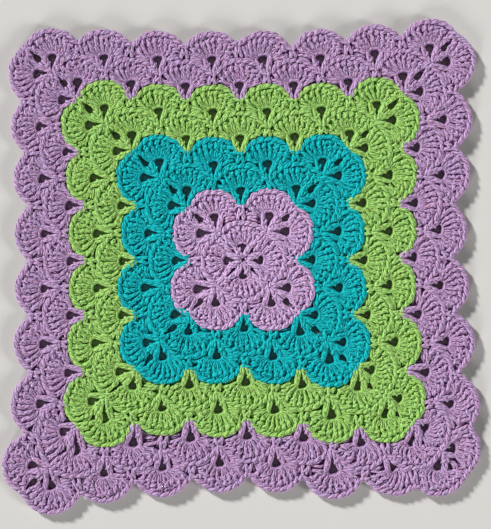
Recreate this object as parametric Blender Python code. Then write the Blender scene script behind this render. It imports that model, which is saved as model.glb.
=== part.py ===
"""A small granny square blanket, crocheted in shell stitch and lying flat.

It is worked outwards from its middle in eight rounds of shells, two rounds to a colour. Each shell is a fan of
stitches that opens from an eye, the hole at the top of a V of two stitches. The V's foot stands in the valley
between two shells of the round before. At each corner two shells share one foot, with a narrow gap between them.
Nothing is cut or sewn on, so the cloth is one solid, and every eye and corner gap goes right through it.

Frame: the surface it lies on is z = 0, +Y runs to the blanket's top edge, and the origin is the middle of its
underside. Sizes are in millimetres until the mesh is made.
"""

import math

import bmesh
import bpy
from mathutils import Vector

MM = 0.001

# The rounds, and where their eyes lie
ROUNDS = 8
FIRST_EYE = 9.2  # from the middle to each of the four eyes of the first round
CORNER_FLARE = 0.048  # how far a side bows outwards at its ends, for its distance from the middle
LAY_WOBBLE = 0.4  # how far a hand-made eye strays from its place
LEAN = (-0.023, 0.004)  # how far the blanket was laid askew: to the right for each step up, up for each step right

# The four sides, clockwise: the way out, each round's step that way, and from one eye to the next along the side
SIDES = {
    "top": {"outward": (0, 1), "growth": 15.8, "pitch": 33.0},
    "right": {"outward": (1, 0), "growth": 15.7, "pitch": 33.4},
    "bottom": {"outward": (0, -1), "growth": 16.1, "pitch": 33.6},
    "left": {"outward": (-1, 0), "growth": 15.7, "pitch": 33.0},
}

# How far each corner was pulled when the blanket was laid down: right, up
CORNER_PULL = {
    "top_right": (-0.5, 1.5),
    "bottom_right": (-2.0, 0.0),
    "bottom_left": (-4.5, -7.0),
    "top_left": (4.0, -3.5),
}
CORNER_REACH = 122.0  # from the middle to where a corner's pull is whole

# Where the hand strayed most from the rule. An eye goes by its round and its place along the side, clockwise from 0,
# and a valley by its round and the shell on its left, clockwise from 0 at the top left: how far right, how far up
EYE_STRAYS = {
    "top": {(1, 0): (0.0, -2.5), (8, 4): (-2.0, -0.5)},
    "right": {
        (6, 3): (-1.5, 1.5),
        (7, 3): (-1.5, 1.5),
        (7, 5): (2.5, -1.5),
        (7, 6): (-1.0, -0.5),
        (8, 3): (-1.5, 1.0),
        (8, 4): (-1.5, 1.0),
        (8, 6): (1.0, -3.5),
        (8, 7): (-0.5, 3.0),
    },
    "bottom": {
        (4, 3): (1.0, 2.5),
        (5, 4): (-0.5, 2.0),
        (6, 1): (0.5, -2.0),
        (6, 4): (0.5, 4.0),
        (7, 1): (1.5, -2.0),
        (8, 0): (-1.0, 3.0),
        (8, 1): (4.5, 0.0),
        (8, 2): (1.0, -3.0),
        (8, 7): (3.5, -0.5),
    },
    "left": {(2, 0): (-2.5, -1.0), (4, 1): (-3.0, 0.0), (8, 0): (-1.5, -1.0)},
}
VALLEY_STRAYS = {(7, 20): (1.7, -7.5), (7, 27): (2.0, -0.3)}

# One shell
SHELL_PEAK = 17.2  # from the eye to the top of its shell
SHELL_SHOULDER = 18.0  # from the eye to the valleys at both sides of its shell
EDGE_PEAK = 17.8  # the same two along the blanket's edge, where no other shell draws the rim in
EDGE_SHOULDER = 18.4
VALLEY_RISE = 6.5  # a valley lies at least this far outside the line between its two eyes
RIM_STEPS = 6  # straight runs in a shell's rim, three on each side of its peak

# An eye, right half, from its point up to its rounded top: across, along the shell's axis
EYE_POINT = -4.8
EYE_SIDE = ((1.6, -2.1), (2.7, 1.1), (1.3, 2.8))

# A corner gap lies on the seam between a corner's two shells, outside the line between their eyes
GAP_START = 3.3  # from that line to the gap
GAP_END = 9.9  # from that line to the gap's far end
GAP_HALF_WIDTH = 1.5

# Heights of the cloth's upper side
RIM_CREST = 4.6  # the ridge of stitch heads along a shell's rim
LEG_CREST = 4.2  # the two legs of the V
FLANK_CREST = 3.6  # the shell's lower sides
EYE_LIP = 3.3
GROOVE = 2.8  # where a shell meets its neighbours
EDGE_HEIGHT = 2.3  # the top of the blanket's outer edge
EDGE_UNDERCUT = 1.0  # the edge rounds inwards by this much down to the surface

# Where the crest lies between the eye, 0, and the shell's outline, 1
RIM_CREST_SHARE = 0.86
LEG_CREST_SHARE = 0.5

YARNS = {
    "lilac_yarn": (0.47, 0.30, 0.52, 1.0),
    "teal_yarn": (0.004, 0.37, 0.37, 1.0),
    "lime_yarn": (0.27, 0.48, 0.12, 1.0),
}
YARN_OF_ROUND = (0, 0, 1, 1, 2, 2, 0, 0)
YARN_ROUGHNESS = 0.9


def clear_scene():
    for item in list(bpy.data.objects):
        bpy.data.objects.remove(item)


def quarter_turn(direction):
    """The direction turned clockwise by 90 degrees."""
    return Vector((direction.y, -direction.x))


def corner_pull(place):
    """How far the nearest corner's pull moves a place: nothing at the sides' middles, all at the corner."""
    upper_or_lower = "top" if place.y > 0 else "bottom"
    right_or_left = "right" if place.x > 0 else "left"
    share = (abs(place.x * place.y) / CORNER_REACH**2) ** 2
    return Vector(CORNER_PULL[f"{upper_or_lower}_{right_or_left}"]) * share


def eyes_of_round(number):
    """The eyes of one round, clockwise from the left end of its top side."""
    places = []
    for turn, (name, side) in enumerate(SIDES.items()):
        outward = Vector(side["outward"])
        along = quarter_turn(outward)
        distance = FIRST_EYE + side["growth"] * (number - 1)
        for k in range(number):
            offset = (k - (number - 1) / 2) * side["pitch"]
            flared = distance + CORNER_FLARE * offset**2 / distance
            place = outward * flared + along * offset
            place += corner_pull(place)
            phase = 2.4 * k + 5.1 * turn + 1.7 * number
            stray = Vector((math.sin(3.1 * phase), math.cos(4.3 * phase))) * LAY_WOBBLE
            stray += Vector(EYE_STRAYS[name].get((number, k), (0, 0)))
            lean = Vector((place.y * LEAN[0], place.x * LEAN[1]))
            places.append(place + lean + stray)
    return places


def valleys_of_round(number, eyes, shoulder):
    """The valley between each eye's shell and the next one, clockwise."""
    valleys = []
    for i, (eye, following) in enumerate(zip(eyes, eyes[1:] + eyes[:1])):
        apart = following - eye
        outward = Vector((-apart.y, apart.x)).normalized()
        rise = math.sqrt(max(shoulder**2 - apart.length_squared / 4, VALLEY_RISE**2))
        stray = Vector(VALLEY_STRAYS.get((number, i), (0, 0)))
        valleys.append((eye + following) / 2 + outward * rise + stray)
    return valleys


def rim_between(eye, left, right, peak):
    """The points of a shell's rim between its two valleys, clockwise, without the valleys."""
    start = math.atan2(*(left - eye).yx)
    sweep = (start - math.atan2(*(right - eye).yx)) % math.tau
    points = []
    for step in range(1, RIM_STEPS):
        share = step / RIM_STEPS
        shoulder = (left - eye).length * (1 - share) + (right - eye).length * share
        reach = peak + (shoulder - peak) * (2 * share - 1) ** 2
        angle = start - sweep * share
        points.append(eye + Vector((math.cos(angle), math.sin(angle))) * reach)
    return points


def eye_outline(eye, axis):
    """An eye's outline, anticlockwise from the point that looks at the shell's foot."""
    across = quarter_turn(axis)
    right = [eye + across * side + axis * up for side, up in EYE_SIDE]
    left = [eye - across * side + axis * up for side, up in EYE_SIDE]
    return [eye + axis * EYE_POINT, *right, *reversed(left)]


class Cloth:
    """The blanket's mesh while it is made. The underside's edge loops are kept, and filled at the end."""

    def __init__(self):
        self.mesh = bmesh.new()
        self.underside_edges = []

    def point(self, place, height):
        return self.mesh.verts.new((place.x, place.y, height))

    def face(self, points, yarn):
        self.mesh.faces.new(points).material_index = yarn

    def wall_down(self, top, bottom, yarn):
        """A wall from a closed loop of the upper side down to its loop on the underside."""
        for i, corner in enumerate(top):
            j = (i + 1) % len(top)
            self.face((corner, bottom[i], bottom[j], top[j]), yarn)
            self.underside_edges.append(self.mesh.edges.get((bottom[i], bottom[j])))


def spokes_of_middle(cloth, valleys):
    """The seams between the first round's shells, each from the blanket's middle towards its valley."""
    middle = cloth.point(Vector((0, 0)), GROOVE)
    spokes = []
    for valley in valleys:
        spokes.append([middle] + [cloth.point(valley * share, GROOVE) for share in (0.25, 0.5, 0.75)])
    return spokes


def corner_seam(cloth, foot, eye_left, eye_right, yarn):
    """The seam between a corner's two shells, as the left shell and the right shell see it. It parts round a gap."""
    start = (eye_left + eye_right) / 2
    along = (start - foot.co.xy).normalized()
    across = quarter_turn(along) * GAP_HALF_WIDTH
    middle = start + along * (GAP_START + GAP_END) / 2
    outline = (start + along * GAP_START, middle + across, start + along * GAP_END, middle - across)
    near, right, far, left = [cloth.point(place, GROOVE) for place in outline]
    below = [cloth.point(place, 0) for place in outline]
    cloth.wall_down([near, right, far, left], below, yarn)
    return [foot, near, left, far], [foot, near, right, far]


def shell(cloth, eye, outline, foot_at, yarn):
    """One shell: its outline, anticlockwise from its foot, then the crest inside it, then the eye and its wall."""
    axis = (eye - foot_at).normalized()
    hole = eye_outline(eye, axis)
    crest = []
    for i, corner in enumerate(outline):
        halfway = hole[i // 2] if i % 2 == 0 else (hole[i // 2] + hole[(i // 2 + 1) % len(hole)]) / 2
        on_rim = 4 <= i <= 10
        on_leg = i in (0, 1, len(outline) - 1)
        share = RIM_CREST_SHARE if on_rim else LEG_CREST_SHARE
        height = RIM_CREST if on_rim else LEG_CREST if on_leg else FLANK_CREST
        crest.append(cloth.point(halfway.lerp(corner.co.xy, share), height))
    lip = [cloth.point(place, EYE_LIP) for place in hole]
    below = [cloth.point(place, 0) for place in hole]
    for i, corner in enumerate(outline):
        j = (i + 1) % len(outline)
        cloth.face((corner, outline[j], crest[j], crest[i]), yarn)
    for i, corner in enumerate(lip):
        following = lip[(i + 1) % len(lip)]
        first, middle, last = crest[2 * i], crest[2 * i + 1], crest[(2 * i + 2) % len(crest)]
        cloth.face((corner, first, middle), yarn)
        cloth.face((corner, middle, following), yarn)
        cloth.face((following, middle, last), yarn)
    cloth.wall_down(lip, below, yarn)


def work_rounds(cloth):
    """Works every round from the middle outwards, and returns the last round's eyes and rims."""
    inner_rims = []
    for number in range(1, ROUNDS + 1):
        on_edge = number == ROUNDS
        height = EDGE_HEIGHT if on_edge else GROOVE
        peak = EDGE_PEAK if on_edge else SHELL_PEAK
        eyes = eyes_of_round(number)
        valleys = valleys_of_round(number, eyes, EDGE_SHOULDER if on_edge else SHELL_SHOULDER)
        yarn = YARN_OF_ROUND[number - 1]
        valley_points = [cloth.point(place, height) for place in valleys]
        rims = []
        for i, eye in enumerate(eyes):
            between = [cloth.point(p, height) for p in rim_between(eye, valleys[i - 1], valleys[i], peak)]
            rims.append([valley_points[i - 1], *between, valley_points[i]])
        if number == 1:
            spokes = spokes_of_middle(cloth, valleys)
            for i, eye in enumerate(eyes):
                outline = [*spokes[i], *reversed(rims[i]), *reversed(spokes[i - 1][1:])]
                shell(cloth, eye, outline, Vector((0, 0)), yarn)
        else:
            work_round_on(cloth, number, eyes, rims, inner_rims, yarn)
        inner_rims = rims
    return eyes, rims


def work_round_on(cloth, number, eyes, rims, inner_rims, yarn):
    """Works a round's shells into the valleys of the round inside it."""
    half = RIM_STEPS // 2
    inner = number - 1
    for side in range(len(SIDES)):
        last = (side + 1) * number - 1
        first = (last + 1) % len(eyes)
        corner = inner_rims[(side + 1) * inner - 1][-1]
        seam_left, seam_right = corner_seam(cloth, corner, eyes[last], eyes[first], yarn)
        for k in range(1, number):
            i = side * number + k
            left_rim = inner_rims[side * inner + k - 1]
            right_rim = inner_rims[(side * inner + k) % len(inner_rims)]
            to_right = seam_left if i == last else right_rim[: half + 1]
            outline = [*to_right, *reversed(rims[i]), *left_rim[half:-1]]
            shell(cloth, eyes[i], outline, left_rim[-1].co.xy, yarn)
        right_rim = inner_rims[(side + 1) * inner % len(inner_rims)]
        outline = [*right_rim[: half + 1], *reversed(rims[first]), *reversed(seam_right[1:])]
        shell(cloth, eyes[first], outline, corner.co.xy, yarn)


def close_edge(cloth, eyes, rims):
    """The outer edge, which rounds in under the last round's rims."""
    top, bottom = [], []
    for i, eye in enumerate(eyes):
        for k, corner in enumerate(rims[i][:-1]):
            within = eye if k else (eye + eyes[i - 1]) / 2
            inwards = (within - corner.co.xy).normalized() * EDGE_UNDERCUT
            top.append(corner)
            bottom.append(cloth.point(corner.co.xy + inwards, 0))
    cloth.wall_down(top, bottom, YARN_OF_ROUND[-1])


def close_underside(cloth):
    """The flat underside, with the eyes and the corner gaps left open."""
    made = bmesh.ops.triangle_fill(cloth.mesh, edges=cloth.underside_edges, use_beauty=True)
    for item in made["geom"]:
        if isinstance(item, bmesh.types.BMFace):
            item.material_index = YARN_OF_ROUND[-1]


def centre_and_scale(mesh):
    """Puts the middle of the blanket's box on the origin, and turns millimetres into metres."""
    for axis in (0, 1):
        values = [point.co[axis] for point in mesh.verts]
        middle = (min(values) + max(values)) / 2
        for point in mesh.verts:
            point.co[axis] -= middle
    bmesh.ops.scale(mesh, vec=(MM, MM, MM), verts=mesh.verts)


def yarn_material(name, colour):
    material = bpy.data.materials.new(name)
    material.use_nodes = True
    surface = material.node_tree.nodes["Principled BSDF"]
    surface.inputs["Base Color"].default_value = colour
    surface.inputs["Roughness"].default_value = YARN_ROUGHNESS
    surface.inputs["Metallic"].default_value = 0.0
    return material


def blanket():
    cloth = Cloth()
    eyes, rims = work_rounds(cloth)
    close_edge(cloth, eyes, rims)
    close_underside(cloth)
    centre_and_scale(cloth.mesh)
    bmesh.ops.triangulate(cloth.mesh, faces=cloth.mesh.faces)
    bmesh.ops.recalc_face_normals(cloth.mesh, faces=cloth.mesh.faces)
    data = bpy.data.meshes.new("blanket")
    cloth.mesh.to_mesh(data)
    cloth.mesh.free()
    for name, colour in YARNS.items():
        data.materials.append(yarn_material(name, colour))
    data.shade_smooth()
    data.set_sharp_from_angle(angle=math.radians(50))
    item = bpy.data.objects.new("blanket", data)
    bpy.context.scene.collection.objects.link(item)
    return item


clear_scene()
blanket()
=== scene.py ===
# %% [markdown]
# # A granny square blanket in shell stitch
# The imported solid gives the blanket's place and size. A picture of stitches or a bump on that solid would look right
# from far above only, so this lesson dresses it in real strands of yarn: every stitch is a few tubes that twist,
# cross and loop as the hook laid them. All pieces share the solid's frame, in metres.

# %% Load the frame and note the solid's box
import math

import bpy
import numpy as np
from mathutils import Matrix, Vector
from mathutils.geometry import delaunay_2d_cdt


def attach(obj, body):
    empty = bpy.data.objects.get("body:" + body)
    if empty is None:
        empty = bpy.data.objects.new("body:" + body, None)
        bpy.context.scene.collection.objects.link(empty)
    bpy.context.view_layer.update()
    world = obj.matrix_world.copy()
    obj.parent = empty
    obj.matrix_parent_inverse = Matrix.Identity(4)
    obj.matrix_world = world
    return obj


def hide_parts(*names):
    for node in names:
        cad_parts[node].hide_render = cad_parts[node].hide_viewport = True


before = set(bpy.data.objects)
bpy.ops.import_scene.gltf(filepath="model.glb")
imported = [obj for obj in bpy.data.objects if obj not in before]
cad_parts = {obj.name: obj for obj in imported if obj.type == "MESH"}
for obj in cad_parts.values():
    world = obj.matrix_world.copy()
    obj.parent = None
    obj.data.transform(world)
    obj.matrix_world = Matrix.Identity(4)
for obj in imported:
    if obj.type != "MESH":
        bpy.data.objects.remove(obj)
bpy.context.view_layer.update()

MM = 0.001
chance = np.random.default_rng(29)

# %% [markdown]
# ## The plan of the square
# The blanket grows from its middle in eight rounds of shells, and each shell opens from an eye. The 144 eyes could be
# placed by hand, but one rule is shorter and easier to correct: a step outwards for each round and a pitch along each
# side, with a flare towards the corners. The rule and its sizes, in millimetres, are the solid's own, so each strand
# lies over the shell that carries it.

# %% Sizes of the plan
ROUNDS, ROUNDS_IN_BAND = 8, 2
FIRST_EYE = 9.2  # from the middle to each of the four eyes of the first round
CORNER_FLARE = 0.048  # how fast the eyes of a side move outwards towards its ends
SIDES = {
    "top": {"outward": (0, 1), "growth": 15.8, "pitch": 33.0},
    "right": {"outward": (1, 0), "growth": 15.7, "pitch": 33.4},
    "bottom": {"outward": (0, -1), "growth": 16.1, "pitch": 33.6},
    "left": {"outward": (-1, 0), "growth": 15.7, "pitch": 33.0},
}
SHELL_PEAK, SHELL_SHOULDER = 17.2, 18.0  # from an eye to the top of its shell, and to its valleys
EDGE_PEAK, EDGE_SHOULDER = 17.8, 18.4  # the same two along the blanket's edge
VALLEY_RISE = 6.5  # a valley lies at least this far outside the line between its eyes
every_round = range(1, ROUNDS + 1)
new_colour_rounds = every_round[ROUNDS_IN_BAND::ROUNDS_IN_BAND]
print("rounds:", list(every_round), "with a new colour in", list(new_colour_rounds))

# %% [markdown]
# ## The hand that made it
# No hand-made square is even. The whole leans a little, the corners are pulled out of line as the cloth lies, every
# eye wobbles, and a few shells stray further. Random numbers could make the wobble, but it has to be the same here as
# in the solid, so sine waves make it, and a short table holds the shells that stray most.

# %% How the square is uneven
LEAN = (-0.023, 0.004)  # the shift to the right for each millimetre up, and up for each to the right
CORNER_PULL = {  # how far right and how far up
    "top_right": (-0.5, 1.5),
    "bottom_right": (-2.0, 0.0),
    "bottom_left": (-4.5, -7.0),
    "top_left": (4.0, -3.5),
}
CORNER_REACH = 122.0  # from the middle, both ways, to where a corner's pull is whole
LAY_WOBBLE = 0.4
WOBBLE_STEPS = {"along": 2.4, "side": 5.1, "round": 1.7}  # how the wave's phase moves on
WOBBLE_WAVES = (3.1, 4.3)
EYE_STRAYS = {  # round and place along the side: how far right, how far up
    "top": {(1, 0): (0.0, -2.5), (8, 4): (-2.0, -0.5)},
    "right": {
        (6, 3): (-1.5, 1.5),
        (7, 3): (-1.5, 1.5),
        (7, 5): (2.5, -1.5),
        (7, 6): (-1.0, -0.5),
        (8, 3): (-1.5, 1.0),
        (8, 4): (-1.5, 1.0),
        (8, 6): (1.0, -3.5),
        (8, 7): (-0.5, 3.0),
    },
    "bottom": {
        (4, 3): (1.0, 2.5),
        (5, 4): (-0.5, 2.0),
        (6, 1): (0.5, -2.0),
        (6, 4): (0.5, 4.0),
        (7, 1): (1.5, -2.0),
        (8, 0): (-1.0, 3.0),
        (8, 1): (4.5, 0.0),
        (8, 2): (1.0, -3.0),
        (8, 7): (3.5, -0.5),
    },
    "left": {(2, 0): (-2.5, -1.0), (4, 1): (-3.0, 0.0), (8, 0): (-1.5, -1.0)},
}
VALLEY_STRAYS = {(7, 20): (1.7, -7.5), (7, 27): (2.0, -0.3)}  # round and place, clockwise
print("stray eyes:", sum(len(side) for side in EYE_STRAYS.values()), "stray valleys:", len(VALLEY_STRAYS))


# %% Place the eyes
def turned(direction):
    """A direction, or many, turned clockwise by 90 degrees."""
    return np.stack((direction[..., 1], -direction[..., 0]), -1)


def unit(vectors):
    """Vectors of length 1 in the same directions."""
    return vectors / np.linalg.norm(vectors, axis=-1, keepdims=True)


def eyes_of_round(number):
    """The eyes of one round, clockwise from the left end of its top side."""
    places = []
    for turn, (name, side) in enumerate(SIDES.items()):
        outward = np.array(side["outward"], float)
        distance = FIRST_EYE + side["growth"] * (number - 1)
        for k in range(number):
            offset = (k - (number - 1) / 2) * side["pitch"]
            place = outward * (distance + CORNER_FLARE * offset**2 / distance) + turned(outward) * offset
            corner = f"{'top' if place[1] > 0 else 'bottom'}_{'right' if place[0] > 0 else 'left'}"
            place = place + np.array(CORNER_PULL[corner]) * (abs(place[0] * place[1]) / CORNER_REACH**2) ** 2
            phase = WOBBLE_STEPS["along"] * k + WOBBLE_STEPS["side"] * turn + WOBBLE_STEPS["round"] * number
            waves = (math.sin(WOBBLE_WAVES[0] * phase), math.cos(WOBBLE_WAVES[1] * phase))
            stray = np.array(waves) * LAY_WOBBLE
            stray += EYE_STRAYS[name].get((number, k), (0, 0))
            places.append(place + (place[1] * LEAN[0], place[0] * LEAN[1]) + stray)
    return np.array(places)


eyes = {number: eyes_of_round(number) for number in every_round}
print("shells:", sum(len(places) for places in eyes.values()))


# %% Place the valleys
def valleys_of_round(number, shoulder):
    """The valley between each eye's shell and the next one, clockwise."""
    own = eyes[number]
    apart = np.roll(own, -1, axis=0) - own
    rise = np.sqrt(np.maximum(shoulder**2 - (apart**2).sum(-1) / 4, VALLEY_RISE**2))
    strays = np.array([VALLEY_STRAYS.get((number, i), (0, 0)) for i in range(len(own))])
    return own + apart / 2 - turned(unit(apart)) * rise[:, None] + strays


valleys = {n: valleys_of_round(n, EDGE_SHOULDER if n == ROUNDS else SHELL_SHOULDER) for n in every_round}
print("valleys along the edge:", len(valleys[ROUNDS]))

# %% [markdown]
# ## Where the stitches stand
# The V of every shell stands in a valley of the round below, and the first four stand in the ring. The short stitch
# in a valley, here called a tie, comes up through the peak of the shell below. At a corner there is no such shell,
# so the tie begins at the far end of the corner gap. All these places follow from the eyes and the valleys, so none of
# them is a number of its own, and a change to the plan moves the stitches with it.

# %% Find the feet and the ties
VALLEY_INSET = 1.3  # the chain's middle line keeps this far below a valley
TIE_START = 1.3  # a tie comes up this far inside the rim of the shell below
FIRST_TIE = 0.3  # a tie of the first round begins this share of the way out to its valley
GAP_START, GAP_END = 2.8, 10.5  # a corner gap, from the line between its two eyes


def feet_of_round(number):
    """Where the Vs of one round stand."""
    inner = number - 1
    if not inner:
        return np.zeros((4, 2))
    return valleys[inner][[(side * inner + k - 1) % (4 * inner) for side in range(4) for k in range(number)]]


def tie_starts(number):
    """Where the ties of one round begin, one for each shell's right valley."""
    own = eyes[number]
    starts = valleys[number] * FIRST_TIE
    if number == 1:
        return starts
    for i in range(len(own)):
        side, k = divmod(i, number)
        if k == number - 1:
            between_eyes = (own[i] + own[(i + 1) % len(own)]) / 2
            starts[i] = between_eyes + GAP_END * unit(between_eyes - feet_at[number][i])
        else:
            below = side * (number - 1) + k
            shell = eyes[number - 1][below]
            starts[i] = shell + (SHELL_PEAK - TIE_START) * unit(shell - feet_at[number - 1][below])
    return starts


def tie_ends(number):
    """Where the ties of one round end, under the chain."""
    own = eyes[number]
    return valleys[number] + VALLEY_INSET * unit((own + np.roll(own, -1, axis=0)) / 2 - valleys[number])


feet_at = {number: feet_of_round(number) for number in every_round}
starts_at = {number: tie_starts(number) for number in every_round}
ends_at = {number: tie_ends(number) for number in every_round}
tie_lengths = np.linalg.norm(ends_at[ROUNDS] - starts_at[ROUNDS], axis=1)
print("ties of the last round, mm:", tie_lengths.min().round(1), "to", tie_lengths.max().round(1))

# %% [markdown]
# ## One row of numbers for each shell
# A loop over the shells would be slow, so all the strands are computed together, and the shells' places go into
# arrays: where the eye is, where the V's foot stands, which way the shell looks, and the arc of its rim from its left
# valley to its right one.


# %% Gather the shells
def on_both_sides(places):
    """For each shell, the place at its left valley and the one at its right valley."""
    return np.concatenate([np.stack((np.roll(places[n], 1, axis=0), places[n]), 1) for n in every_round])


round_of = np.concatenate([np.full(4 * n, n) for n in every_round])
along_side = np.concatenate([np.tile(np.arange(n), 4) for n in every_round])
eye, foot = (np.concatenate([places[n] for n in every_round]) for places in (eyes, feet_at))
sides, lows, highs = (on_both_sides(places) for places in (valleys, starts_at, ends_at))
left, right = sides[:, 0], sides[:, 1]
at_corner = np.stack((along_side == 0, along_side == round_of - 1), 1) & (round_of > 1)[:, None]
axis = unit(eye - foot)
across = turned(axis)
axis_angle = np.arctan2(axis[:, 1], axis[:, 0])
rim_start = np.arctan2(*(left - eye).T[::-1])
rim_sweep = (rim_start - np.arctan2(*(right - eye).T[::-1])) % math.tau
peak = np.where(round_of == ROUNDS, EDGE_PEAK, SHELL_PEAK)
left_reach, right_reach = (np.linalg.norm(v - eye, axis=1) for v in (left, right))
print("corner shells:", int(at_corner.any(1).sum()), "of", len(eye))


# %% Measure the rims
def on_rim(which, share, inset=0.0):
    """Points of the rims of some shells, at shares of the way from the left valley to the right one."""
    share = np.asarray(share, float)
    column = (slice(None),) + (None,) * share.ndim
    shoulder = left_reach[which][column] * (1 - share) + right_reach[which][column] * share
    reach = peak[which][column] + (shoulder - peak[which][column]) * (2 * share - 1) ** 2 - inset
    angle = rim_start[which][column] - rim_sweep[which][column] * share
    return angle, reach, eye[which][column] + np.stack((np.cos(angle), np.sin(angle)), -1) * reach[..., None]


SPOTS_ON_RIM = 7  # for each shell of the edge, to measure the square
edge_shells = np.flatnonzero(round_of == ROUNDS)
_, _, edge = on_rim(edge_shells, np.linspace(0, 1, SPOTS_ON_RIM))
edge = edge.reshape(-1, 2)
CENTRE = (edge.min(0) + edge.max(0)) / 2
print("plan, mm:", np.round(np.ptp(edge, axis=0), 1), "middle of the square at", np.round(-CENTRE, 2))

# %% [markdown]
# ## Yarn as tubes
# A strand is a tube swept along its path, with its own thickness at every point, closed at both ends. Thousands
# of strands of one kind have paths of the same length, so numpy sweeps them all at once, which takes a second where a
# curve object for each strand would take minutes. The mesh also keeps how far along and around the yarn each
# point lies, in a UV map, because the twist of the plies is drawn from it.

# %% Helpers for paths
ALONG = "along_the_yarn"
BALL = 900  # each strand is cut from somewhere in this many millimetres of yarn, so that no two look alike
FINE, COARSE = 6, 5  # sides of a tube, and of one that is short or lies deep
NOT_NOTHING = 1e-6  # keeps a direction's length above 0 where a strand runs straight up


def curve(t, knots):
    """A value along a strand, from (share of the way, value) pairs."""
    return np.interp(t, [k[0] for k in knots], [k[1] for k in knots])


def raised(flat, height):
    """Points in the plane with their heights."""
    height = np.broadcast_to(height, flat.shape[:-1])
    return np.concatenate((flat, height[..., None]), -1)


def yarn_coordinates(paths, sides):
    """How far along the yarn, and what share of the way round it, the corners of the walls and ends lie."""
    strands, points = paths.shape[:2]
    step = np.linalg.norm(np.diff(paths, axis=1), axis=2)
    far = np.concatenate((np.zeros((strands, 1)), np.cumsum(step, axis=1)), axis=1) + BALL * chance.random((strands, 1))
    u = np.broadcast_to(far[:, :, None], (strands, points, sides))
    v = np.broadcast_to(np.arange(sides) / sides, u.shape)
    wall_u = np.stack((u[:, :-1], u[:, :-1], u[:, 1:], u[:, 1:]), -1).reshape(-1, 4)
    wall_v = np.stack((v[:, :-1], v[:, :-1] + 1 / sides, v[:, 1:] + 1 / sides, v[:, 1:]), -1).reshape(-1, 4)
    end_u = np.concatenate((u[:, 0, ::-1], u[:, -1]))
    end_v = np.concatenate((v[:, 0, ::-1], v[:, -1]))
    return np.stack((wall_u, wall_v), -1), np.stack((end_u, end_v), -1)


print("halfway up a ramp, for a test:", curve(0.25, ((0, 0), (0.5, 1))))


# %% Sweep the strands
def sweep(paths, radii, sides=FINE):
    """The tubes' points, faces and yarn coordinates. paths is strands x points x 3, in millimetres."""
    paths = np.asarray(paths, float)
    strands, points = paths.shape[:2]
    radii = np.broadcast_to(radii, (strands, points))
    way = unit(np.gradient(paths, axis=1))
    aside = unit(np.cross(way, (0.0, 0.0, 1.0)) + NOT_NOTHING)
    above = np.cross(way, aside)
    turn = np.linspace(0, math.tau, sides, endpoint=False)
    ring = aside[:, :, None] * np.cos(turn)[:, None] + above[:, :, None] * np.sin(turn)[:, None]
    places = paths[:, :, None] + ring * radii[:, :, None, None]
    number = np.arange(strands * points * sides).reshape(strands, points, sides)
    ahead = np.roll(number, -1, axis=2)
    walls = np.stack((number[:, :-1], ahead[:, :-1], ahead[:, 1:], number[:, 1:]), -1).reshape(-1, 4)
    ends = np.concatenate((number[:, 0, ::-1], number[:, -1]))
    return places.reshape(-1, 3), (walls, ends), yarn_coordinates(paths, sides)


def mesh_of(name, batches):
    """One mesh object from several batches of tubes."""
    places, loops, totals, coords, before = [], [], [], [], 0
    for points, faces, uvs in batches:
        places.append(points)
        for some, uv in zip(faces, uvs):
            loops.append((some + before).ravel())
            totals.append(np.full(len(some), some.shape[1]))
            coords.append(uv.reshape(-1, 2))
        before += len(points)
    places, loops, totals, coords = (np.concatenate(a) for a in (places, loops, totals, coords))
    places[:, :2] -= CENTRE
    data = bpy.data.meshes.new(name)
    data.vertices.add(len(places))
    data.vertices.foreach_set("co", (places * MM).astype(np.float32).ravel())
    data.loops.add(len(loops))
    data.loops.foreach_set("vertex_index", loops.astype(np.int32))
    data.polygons.add(len(totals))
    data.polygons.foreach_set("loop_start", (np.cumsum(totals) - totals).astype(np.int32))
    data.polygons.foreach_set("loop_total", totals.astype(np.int32))
    data.polygons.foreach_set("use_smooth", np.ones(len(totals), bool))
    data.update(calc_edges=True)
    data.uv_layers.new(name=ALONG, do_init=False).uv.foreach_set("vector", coords.astype(np.float32).ravel())
    piece = bpy.data.objects.new(name, data)
    bpy.context.scene.collection.objects.link(piece)
    print(f"{name}: {int((totals - 2).sum())} triangles")
    return piece


print("sides of a strand:", FINE, "or", COARSE)

# %% [markdown]
# ## The fan of a shell
# Eight tall stitches stand side by side in each eye. The post of such a stitch is two lengths of yarn: thin and side
# by side where they crowd over the loop at the eye, full and twisted half a turn where the fan opens. One thick tube
# for each post would be simpler, but in the photo the crossings are the grain of the cloth, and their shadows move
# with the light, so both lengths are modelled.

# %% Twist the posts
STITCHES = 8
FAN_HALF = math.radians(102)  # how far round the eye the stitches reach on each side of the shell's axis
CORNER_HALF = math.radians(84)  # the same on a side where a corner gap is
FAN_START = 3.1  # from the eye's middle to where a stitch comes up through it
UNDER_RIM = 2.2  # a post ends this far inside the rim, under the chain
FIRST_HEAD = 0.055  # the first stitch's head, as a share of the rim
HEADS = FIRST_HEAD + (1 - 2 * FIRST_HEAD) * np.arange(STITCHES) / (STITCHES - 1)
POST_POINTS = 11
POST_HEIGHT = (0, 0.9), (0.08, 2.1), (0.2, 2.5), (0.5, 2.35), (1, 2.4)
POST_WIDE = (0, 0.35), (0.15, 0.5), (0.4, 0.85), (0.7, 1.2), (1, 1.25)  # between a post's two strands
POST_DEEP = (0, 0.3), (0.3, 0.45), (0.6, 0.6), (0.9, 0.6), (1, 0.4)  # how far they rise and dip as they cross
POST_THICK = (0, 0.45), (0.12, 0.56), (0.3, 0.8), (0.5, 0.98), (0.9, 1.0), (1, 0.75)
POST_TURN = (0, 0), (0.35, 0.4), (1, 3.3)  # in radians
POST_UNEVEN = {"base": 0.04, "head": 0.035, "length": 0.25, "height": 0.12, "turn": 0.35, "thick": 0.06}


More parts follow.
